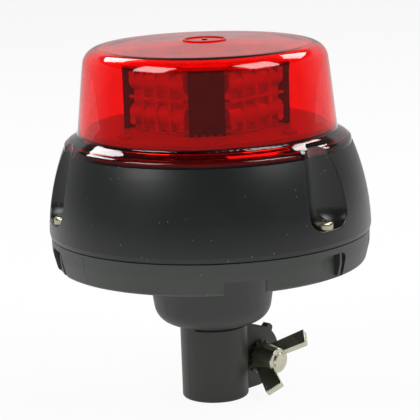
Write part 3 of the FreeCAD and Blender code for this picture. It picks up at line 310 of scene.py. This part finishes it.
class Finish(Enum):
    """The beacon's finishes by what they are."""

    # clear polycarbonate, dyed: deep saturated red wherever light comes through it
    LENS = ClearPlastic("red_polycarbonate_lens", "#FF120C", roughness=0.02)
    # lightly frosted acrylic: the optics' cells stay readable through the lens
    OPTIC = ClearPlastic("frosted_acrylic_optic", "#F4F6F4", roughness=0.04, ior=1.49, transmission=0.55)
    # black styrene, spark-eroded: nearly matt, lifts to grey where light grazes it, holds dust
    SHROUD = MouldedPlastic("matt_black_moulded_shroud", "#151717", "#1B1D1D", 0.34, dust_mm=4.0)
    # the same plastic off a smoother tool: a greener, paler grey than the shroud
    BASE = MouldedPlastic("satin_black_moulded_base", "#373A37", "#3E413E", 0.46, dust_mm=6.0)
    # glass-filled nylon: as grey as the base, with a coarser grain
    SLEEVE = MouldedPlastic("black_filled_nylon_sleeve", "#353732", "#3D3F3A", 0.42, grain_mm=0.5)
    # pale grey deck: shows a clear red floor under the lens
    DECK = MouldedPlastic("grey_moulded_deck", "#A8A8A4", "#B2B2AE", 0.4)
    # black silicone gaskets: a dead black line in a seam
    RUBBER = MouldedPlastic("black_silicone_rubber", "#0C0C0C", "#121212", 0.7, grain_mm=0.2)
    # zinc with a thin clear passivation: grey straw with a green cast
    ZINC_SCREW = PlatedMetal("passivated_zinc_screw", "#C2BC9C", "#A6A58E", 0.3)
    # polished zinc casting: bright, a little yellow at its edges
    ZINC_BRIGHT = PlatedMetal("bright_zinc_casting", "#DCDAC4", "#C4C2AE", 0.22, mark_mm=0.5)
    # spring steel of the washer, the circlip and the coil: dark, with a wet shine
    SPRING_STEEL = PlatedMetal("oiled_spring_steel", "#8C8A86", "#6E6C69", 0.34)
    # plain steel screws inside: small bright heads
    SCREW_STEEL = PlatedMetal("zinc_plated_screw_steel", "#C4C4C0", "#ADADA9", 0.3)
    # pale cap over the heat sink: keeps the crown an even red from above
    CAP = MouldedPlastic("pale_moulded_cap", "#B9B9B5", "#C4C4C0", 0.45)
    # raised strip at a mould's split: its near-black colour is painted shade of the seam's groove; a little
    # glossier than the moulding
    PAINTED_GROOVE_SHADE = MouldedPlastic("parting_seam_painted_shade", "#0E0F0E", "#141514", 0.3, grain_mm=0.2)
    # black-anodised aluminium extrusion: the dark corner between the optics
    HEAT_SINK = PlatedMetal("black_anodised_aluminium", "#2A2A2C", "#222224", 0.2)
    # nickelled brass of the contacts: warm and bright
    BRASS = PlatedMetal("nickelled_brass", "#D2BE86", "#BFA870", 0.28)
    # enamelled winding wire: a deep orange ring
    COPPER = PlatedMetal("enamelled_copper_wire", "#B5622D", "#9C4E22", 0.3)
    # driver board: green mask with paler tracks
    BOARD = BoardLaminate("green_masked_laminate", "#0F4A2C", "#1F6A3F")
    # LED boards: white mask that throws the light out
    LED_BOARD = BoardLaminate("white_masked_laminate", "#D9D9D4", "#C9C9C2")
    # phosphor over the LED chips: soft yellow domes
    LED = MouldedPlastic("led_phosphor_silicone", "#D8C64A", "#E6D768", 0.35, grain_mm=0.2)
    # filled polyester of the contact insulator: warm white
    INSULATOR = MouldedPlastic("white_filled_polyester", "#D9D6CC", "#CFCBC0", 0.5)
    # shrink sleeve of the capacitors: blue-black and smooth
    CAPACITOR = MouldedPlastic("dark_shrink_sleeve", "#1D222B", "#232934", 0.3)
    # terminal block: plain mid green
    TERMINAL = MouldedPlastic("green_polyamide_terminal", "#1E6B3A", "#257A44", 0.45)
    # mode switch: a small red accent on the board
    SWITCH = MouldedPlastic("red_switch_moulding", "#A3231C", "#B02A22", 0.4)
    # live lead's insulation: soft red
    LEAD_RED = MouldedPlastic("red_pvc_lead", "#A81C18", "#B4231E", 0.4)
    # earth lead's insulation: soft black
    LEAD_BLACK = MouldedPlastic("black_pvc_lead", "#131313", "#191919", 0.4)


@cache
def finish_material(finish: Finish) -> bpy.types.Material:
    """Material of a finish, made once."""
    return finish.value.material()


def dress(names: Iterable[str], finish: Finish) -> None:
    """Give CAD nodes a finish in their material slots.

    Args:
        names: Node names.
        finish: The finish that they take.
    """
    for name in names:
        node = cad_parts[name]
        if not node.material_slots:
            node.data.materials.append(None)
        for slot in node.material_slots:
            slot.material = finish_material(finish)
        log.info("%s: %s", name, finish.value.name)


def numbered(name: str, count: int) -> tuple[str, ...]:
    """Names of a repeated node."""
    return tuple(f"{name}_{number}" for number in range(1, count + 1))


# ---------------------------------------------------------------- new pieces
def merged_copy(node: str) -> bmesh.types.BMesh:
    """Copy a CAD node's mesh, with the corners of its triangles joined."""
    shape = bmesh.new()
    shape.from_mesh(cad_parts[node].data)
    bmesh.ops.remove_doubles(shape, verts=shape.verts[:], dist=0.001 * MM)
    return shape


def add_piece(name: str, shape: bmesh.types.BMesh, finish: Finish, body: str,
              crease: float = 32.0) -> bpy.types.Object:
    """Turn a finished shape into a piece of the beacon.

    Args:
        name: Name of the piece.
        shape: Its shape in the row frame. It is freed.
        finish: Its finish.
        body: The body that it moves with.
        crease: Angle in degrees from which an edge stays sharp.

    Returns:
        The new object.
    """
    for face in shape.faces:
        face.smooth = True
    for edge in shape.edges:
        edge.smooth = edge.calc_face_angle(math.pi) < math.radians(crease)
    mesh = bpy.data.meshes.new(name)
    shape.to_mesh(mesh)
    shape.free()
    mesh.materials.append(finish_material(finish))
    piece = bpy.data.objects.new(name, mesh)
    bpy.context.scene.collection.objects.link(piece)
    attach(piece, body)
    log.info("%s: %d faces", name, len(mesh.polygons))
    return piece


@dataclass(frozen=True)
class PaintedShadePartingLine:
    """Fine line on a moulding, where the halves of its mould met: a raised strip whose dark colour is
    painted shade of the seam's groove.
    """

    node: str
    slot: str
    low_mm: float
    high_mm: float
    angle: float = -50.3
    width_mm: float = 0.5
    depth_mm: float = 0.06
    proud_share: float = 1 / 3
    reach_mm: float = 200.0
    steps: int = 60

    def build(self) -> None:
        """Lay a thin raised strip of painted groove shade over the node's outer face, from its low end to
        its high end.
        """
        turn = math.radians(self.angle)
        outward = Vector((math.sin(turn), -math.cos(turn), 0.0))
        across = Vector((0, 0, 1)).cross(outward)
        shape = bmesh.new()
        row = [shape.verts.new(place - across * self.width_mm * MM / 2) for place in self.places(outward)]
        edges = [shape.edges.new(pair) for pair in zip(row, row[1:])]
        made = bmesh.ops.extrude_edge_only(shape, edges=edges)["geom"]
        moved = [item for item in made if isinstance(item, bmesh.types.BMVert)]
        bmesh.ops.translate(shape, verts=moved, vec=across * self.width_mm * MM)
        bmesh.ops.solidify(shape, geom=shape.faces[:], thickness=self.depth_mm * MM)
        bmesh.ops.recalc_face_normals(shape, faces=shape.faces[:])
        # the strip's near-black finish is painted shade, where the real seam is a groove in shadow
        add_piece(f"{self.node}_painted_shade_strip_{self.low_mm:.0f}", shape, Finish.PAINTED_GROOVE_SHADE, "beacon")

    def places(self, outward: Vector) -> list[Vector]:
        """Middle of the strip, a little proud of the moulding, at even steps of height.

        Args:
            outward: Level direction from the axis to the line.

        Returns:
            One place for each step.
        """
        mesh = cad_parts[self.node].data
        skin = BVHTree.FromPolygons([v.co for v in mesh.vertices], [list(p.vertices) for p in mesh.polygons])
        found = []
        for step in range(self.steps + 1):
            height = (self.low_mm + (self.high_mm - self.low_mm) * step / self.steps) * MM
            start = outward * self.reach_mm * MM + Vector((0, 0, height))
            place, normal, _, _ = skin.ray_cast(start, -outward)
            found.append(place + normal * self.depth_mm * MM * self.proud_share)
        return found


# ---------------------------------------------------------------- sub-assemblies
class SubAssembly:
    """A group of CAD nodes that are dressed together, with the pieces added to them."""

    finishes: ClassVar[Mapping[Finish, Sequence[str]]] = {}

    def build(self) -> None:
        """Dress the group's nodes, then add its pieces."""
        for finish, names in self.finishes.items():
            dress(names, finish)
        self.add_pieces()

    def add_pieces(self) -> None:
        """Add the pieces that the frame leaves out. Most groups have none."""


class PoleClamp(SubAssembly):
    """Split sleeve with its bolt, washer, wing nut, seal and circlip."""

    finishes = {
        Finish.SLEEVE: ("clamp_sleeve",),
        Finish.RUBBER: ("neck_seal",),
        Finish.SPRING_STEEL: ("neck_circlip", "lock_washer"),
        Finish.ZINC_BRIGHT: ("clamp_bolt", "wing_nut"),
    }

    def add_pieces(self) -> None:
        """Lay the sleeve's parting line as a strip of painted groove shade."""
        PaintedShadePartingLine("clamp_sleeve", "sleeve_black", 1.5, 33.5).build()


class Base(SubAssembly):
    """Base moulding with its seam seal."""

    finishes = {
        Finish.BASE: ("base_housing",),
        Finish.RUBBER: ("housing_seal",),
    }

    def add_pieces(self) -> None:
        """Lay the parting lines of the neck bowl and the ring as strips of painted groove shade."""
        PaintedShadePartingLine("base_housing", "base_black", 38.5, 64.5).build()
        PaintedShadePartingLine("base_housing", "base_black", 66.5, 79.0).build()


class Shroud(SubAssembly):
    """Tapered shroud with its three screws."""

    finishes = {
        Finish.SHROUD: ("shroud",),
        Finish.ZINC_SCREW: numbered("shroud_screw", 3),
    }


@dataclass
class Lens(SubAssembly):
    """Red dome and its seal. The dome is the CAD dome with its crown arched and its brim sloped.

    Each fall is a table of (radius, fall), and each share a table of (height, share of the fall).
    """

    finishes = {Finish.RUBBER: ("lens_seal",)}

    crown_fall_mm: tuple = ((0, 0.2), (10, 0.3), (20, 0.6), (30, 0.95), (40, 1.3), (50, 1.4),
                            (53, 1.3), (55.2, 1.2))
    crown_share_mm: tuple = ((154, 0.0), (158, 1.0))
    brim_fall_mm: tuple = ((60, 0.0), (65.5, 2.6))
    brim_share_mm: tuple = ((124.3, 0.0), (125, 1.0))
    brim_top_mm: float = 130.0      # height that parts the brim from the wall and crown
    rim_radius_mm: float = 64.5     # where the brim's outer rim starts
    rim_foot_mm: float = 119.9      # height that the rim shortens down to
    rim_keep: float = 0.574         # share of the rim's height that is left

    def add_pieces(self) -> None:
        """Make the dome."""
        shape = merged_copy("lens_dome")
        for corner in shape.verts:
            radius = math.hypot(corner.co.x, corner.co.y) / MM
            corner.co.z = self.lowered(radius, corner.co.z / MM) * MM
        dome = add_piece("arched_dome", shape, Finish.LENS, "beacon")
        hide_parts("lens_dome")

    def lowered(self, radius: float, height: float) -> float:
        """Height of a point of the dome after the crown is arched and the brim sloped.

        Args:
            radius: The point's distance from the axis, in millimetres like the rest.
            height: Its height on the CAD dome.

        Returns:
            Its new height, never above the old one.
        """
        if height >= self.brim_top_mm:
            return height - between(self.crown_fall_mm, radius) * between(self.crown_share_mm, height)
        if radius > self.rim_radius_mm:
            return self.rim_foot_mm + (height - self.rim_foot_mm) * self.rim_keep
        return height - between(self.brim_fall_mm, radius) * between(self.brim_share_mm, height)


class LightEngine(SubAssembly):
    """Deck, heat sink, LED boards and optics under the dome."""

    finishes = {
        Finish.DECK: ("deck_plate", *numbered("deck_screw", 4)),
        Finish.CAP: ("engine_cap",),
        Finish.HEAT_SINK: ("heat_sink",),
        Finish.LED_BOARD: numbered("led_board", 4),
        Finish.LED: numbered("led_chips", 4),
        Finish.OPTIC: numbered("optic_block", 4),
        Finish.SCREW_STEEL: numbered("cap_screw", 4),
    }


class Driver(SubAssembly):
    """Circuit board in the base with its parts."""

    finishes = {
        Finish.BOARD: ("driver_board",),
        Finish.CAPACITOR: numbered("capacitor", 2),
        Finish.COPPER: ("choke",),
        Finish.TERMINAL: ("terminal_block",),
        Finish.SWITCH: ("mode_switch",),
        Finish.SCREW_STEEL: numbered("driver_screw", 4),
    }


@dataclass
class PoleContacts(SubAssembly):
    """Insulator, sprung contact and leads in the sleeve's neck."""

    finishes = {
        Finish.INSULATOR: ("contact_insulator",),
        Finish.BRASS: ("centre_contact", "earth_ring", "contact_cap"),
        Finish.SCREW_STEEL: numbered("insulator_screw", 2),
        Finish.LEAD_RED: ("live_lead",),
        Finish.LEAD_BLACK: ("earth_lead",),
    }

    plunge: str = "centre_contact_plunge"

    def add_pieces(self) -> None:
        """Make the contact's spring again as a piece of its own, with its own mesh, and hide the CAD spring.
        """
        coil = add_piece("sprung_coil", merged_copy("contact_spring"), Finish.SPRING_STEEL, "beacon")
        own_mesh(coil)
        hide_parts("contact_spring")


# ---------------------------------------------------------------- studio
@dataclass(frozen=True)
class Softbox:
    """Rectangular studio lamp that points at the beacon."""

    name: str
    place: tuple[float, float, float]
    size: tuple[float, float]
    watts: float
    target: tuple[float, float, float] = (0, 0, 0.1)

    def build(self) -> None:
        """Hang the lamp."""
        data = bpy.data.lights.new(self.name, "AREA")
        data.shape = "RECTANGLE"
        data.size, data.size_y = self.size
        data.energy = self.watts
        lamp = bpy.data.objects.new(self.name, data)
        aim = (Vector(self.target) - Vector(self.place)).to_track_quat("-Z", "Y")
        lamp.matrix_world = Matrix.Translation(self.place) @ aim.to_matrix().to_4x4()
        bpy.context.scene.collection.objects.link(lamp)


@dataclass
class Studio:
    """Pale floor, white surroundings, soft lamps and the camera."""

    camera_distance: float = 0.9
    camera_height: float = 0.2770
    camera_pitch: float = 11.83
    camera_roll: float = -1.852
    lens_mm: float = 170.6
    sensor_mm: float = 36.0
    floor_size: float = 6.0
    floor_glow: float = 0.92        # share of the floor that is plain white where it is seen
    floor_gloss: float = 0.5        # how much of that a glossy reflection sees
    dim_side: float = 0.15          # light from behind the camera
    white_side: float = 0.5         # light from behind the beacon
    side_edges: tuple = (0.1, 0.8)  # where dim turns to white, as a direction's share along +Y
    ceiling: float = 0.2            # share of the light that is left above the backdrop's edge
    backdrop_edges: tuple = (0.40, 0.46)  # where the backdrop ends, as a direction's share along +Z
    softboxes: tuple = (
        Softbox("softbox_left", (-0.8, -0.5, 0.95), (0.65, 0.65), 9.0),
        Softbox("softbox_right", (0.75, -0.4, 1.0), (0.65, 0.65), 9.0),
        Softbox("backbox_left", (-0.56, 0.7, 0.9), (0.5, 0.34), 4.0),
        Softbox("backbox_right", (0.72, 0.6, 0.95), (0.56, 0.36), 4.5),
    )

    def build(self) -> None:
        """Make the floor, the surroundings, the lamps and the camera."""
        self.floor()
        self.world()
        for softbox in self.softboxes:
            softbox.build()
        self.camera()
        bpy.context.scene.view_settings.view_transform = "Standard"

    def floor(self) -> None:
        """Pale floor that looks white but keeps a little of the object's shadow."""
        mesh = bpy.data.meshes.new("floor")
        shape = bmesh.new()
        bmesh.ops.create_grid(shape, x_segments=1, y_segments=1, size=self.floor_size / 2)
        shape.to_mesh(mesh)
        shape.free()
        floor = bpy.data.objects.new("floor", mesh)
        bpy.context.scene.collection.objects.link(floor)
        mesh.materials.append(self.floor_material())

    def floor_material(self) -> bpy.types.Material:
        """Matt pale floor, mostly plain white to the camera and through the lens."""
        graph = MaterialGraph("white_floor")
        tree = graph.tree
        rays = add_node(tree, "ShaderNodeLightPath")
        gloss = add_node(tree, "ShaderNodeMath", {"operation": "MULTIPLY", 1: self.floor_gloss},
                         {0: rays.outputs["Is Glossy Ray"]})
        seen = add_node(tree, "ShaderNodeMath", {"operation": "ADD", "use_clamp": True},
                        {0: rays.outputs["Is Camera Ray"], 1: gloss.outputs[0]})
        seen = add_node(tree, "ShaderNodeMath", {"operation": "ADD", "use_clamp": True},
                        {0: seen.outputs[0], 1: rays.outputs["Is Transmission Ray"]})
        share = add_node(tree, "ShaderNodeMath", {"operation": "MULTIPLY", 1: self.floor_glow},
                         {0: seen.outputs[0]})
        matt = add_node(tree, "ShaderNodeBsdfDiffuse", {"Color": linear("#F2F2F2")})
        glow = add_node(tree, "ShaderNodeEmission", {"Color": linear("#FFFFFF"), "Strength": 1.0})
        mix = add_node(tree, "ShaderNodeMixShader", None,
                       {0: share.outputs[0], 1: matt.outputs[0], 2: glow.outputs[0]})
        tree.links.new(mix.outputs[0], graph.output.inputs["Surface"])
        return graph.material

    def world(self) -> None:
        """White surroundings for the camera and through glass. The rest sees a white backdrop behind
        the beacon, a dimmer ceiling over it and dim light from behind the camera."""
        world = bpy.data.worlds.new("white_surroundings")
        bpy.context.scene.world = world
        world.use_nodes = True
        tree = world.node_tree
        tree.nodes.clear()
        output = add_node(tree, "ShaderNodeOutputWorld")
        rays = add_node(tree, "ShaderNodeLightPath")
        seen = add_node(tree, "ShaderNodeMath", {"operation": "ADD", "use_clamp": True},
                        {0: rays.outputs["Is Camera Ray"], 1: rays.outputs["Is Transmission Ray"]})
        place = add_node(tree, "ShaderNodeTexCoord")
        along = add_node(tree, "ShaderNodeSeparateXYZ", None, {0: place.outputs["Generated"]})
        side_start, side_end = self.side_edges
        side = add_node(tree, "ShaderNodeMapRange",
                        {"From Min": side_start, "From Max": side_end,
                         "To Min": self.dim_side, "To Max": self.white_side}, {"Value": along.outputs["Y"]})
        edge_start, edge_end = self.backdrop_edges
        backdrop = add_node(tree, "ShaderNodeMapRange",
                            {"From Min": edge_start, "From Max": edge_end,
                             "To Min": 1.0, "To Max": self.ceiling}, {"Value": along.outputs["Z"]})
        around = add_node(tree, "ShaderNodeMath", {"operation": "MULTIPLY"},
                          {0: side.outputs["Result"], 1: backdrop.outputs["Result"]})
        level = add_node(tree, "ShaderNodeMix", {"data_type": "FLOAT", 3: 1.0},
                         {0: seen.outputs[0], 2: around.outputs[0]})
        glow = add_node(tree, "ShaderNodeBackground", {"Color": linear("#FFFFFF")},
                        {"Strength": level.outputs[0]})
        tree.links.new(glow.outputs[0], output.inputs["Surface"])

    def camera(self) -> None:
        """Camera in front of the beacon and a little above it."""
        data = bpy.data.cameras.new("camera")
        data.lens = self.lens_mm
        data.sensor_width = self.sensor_mm
        camera = bpy.data.objects.new("camera", data)
        camera.matrix_world = (Matrix.Translation((0, -self.camera_distance, self.camera_height))
                               @ Matrix.Rotation(math.radians(90 - self.camera_pitch), 4, "X")
                               @ Matrix.Rotation(math.radians(self.camera_roll), 4, "Z"))
        bpy.context.scene.collection.objects.link(camera)
        bpy.context.scene.camera = camera


def main() -> None:
    """Build the studio and dress each sub-assembly in turn."""
    logging.basicConfig(level=logging.INFO, format="%(message)s")
    for part in (Studio(), PoleClamp(), Base(), Shroud(), Lens(), LightEngine(), Driver(), PoleContacts()):
        log.info("building %s", type(part).__name__)
        part.build()


if __name__ == "__main__":
    main()
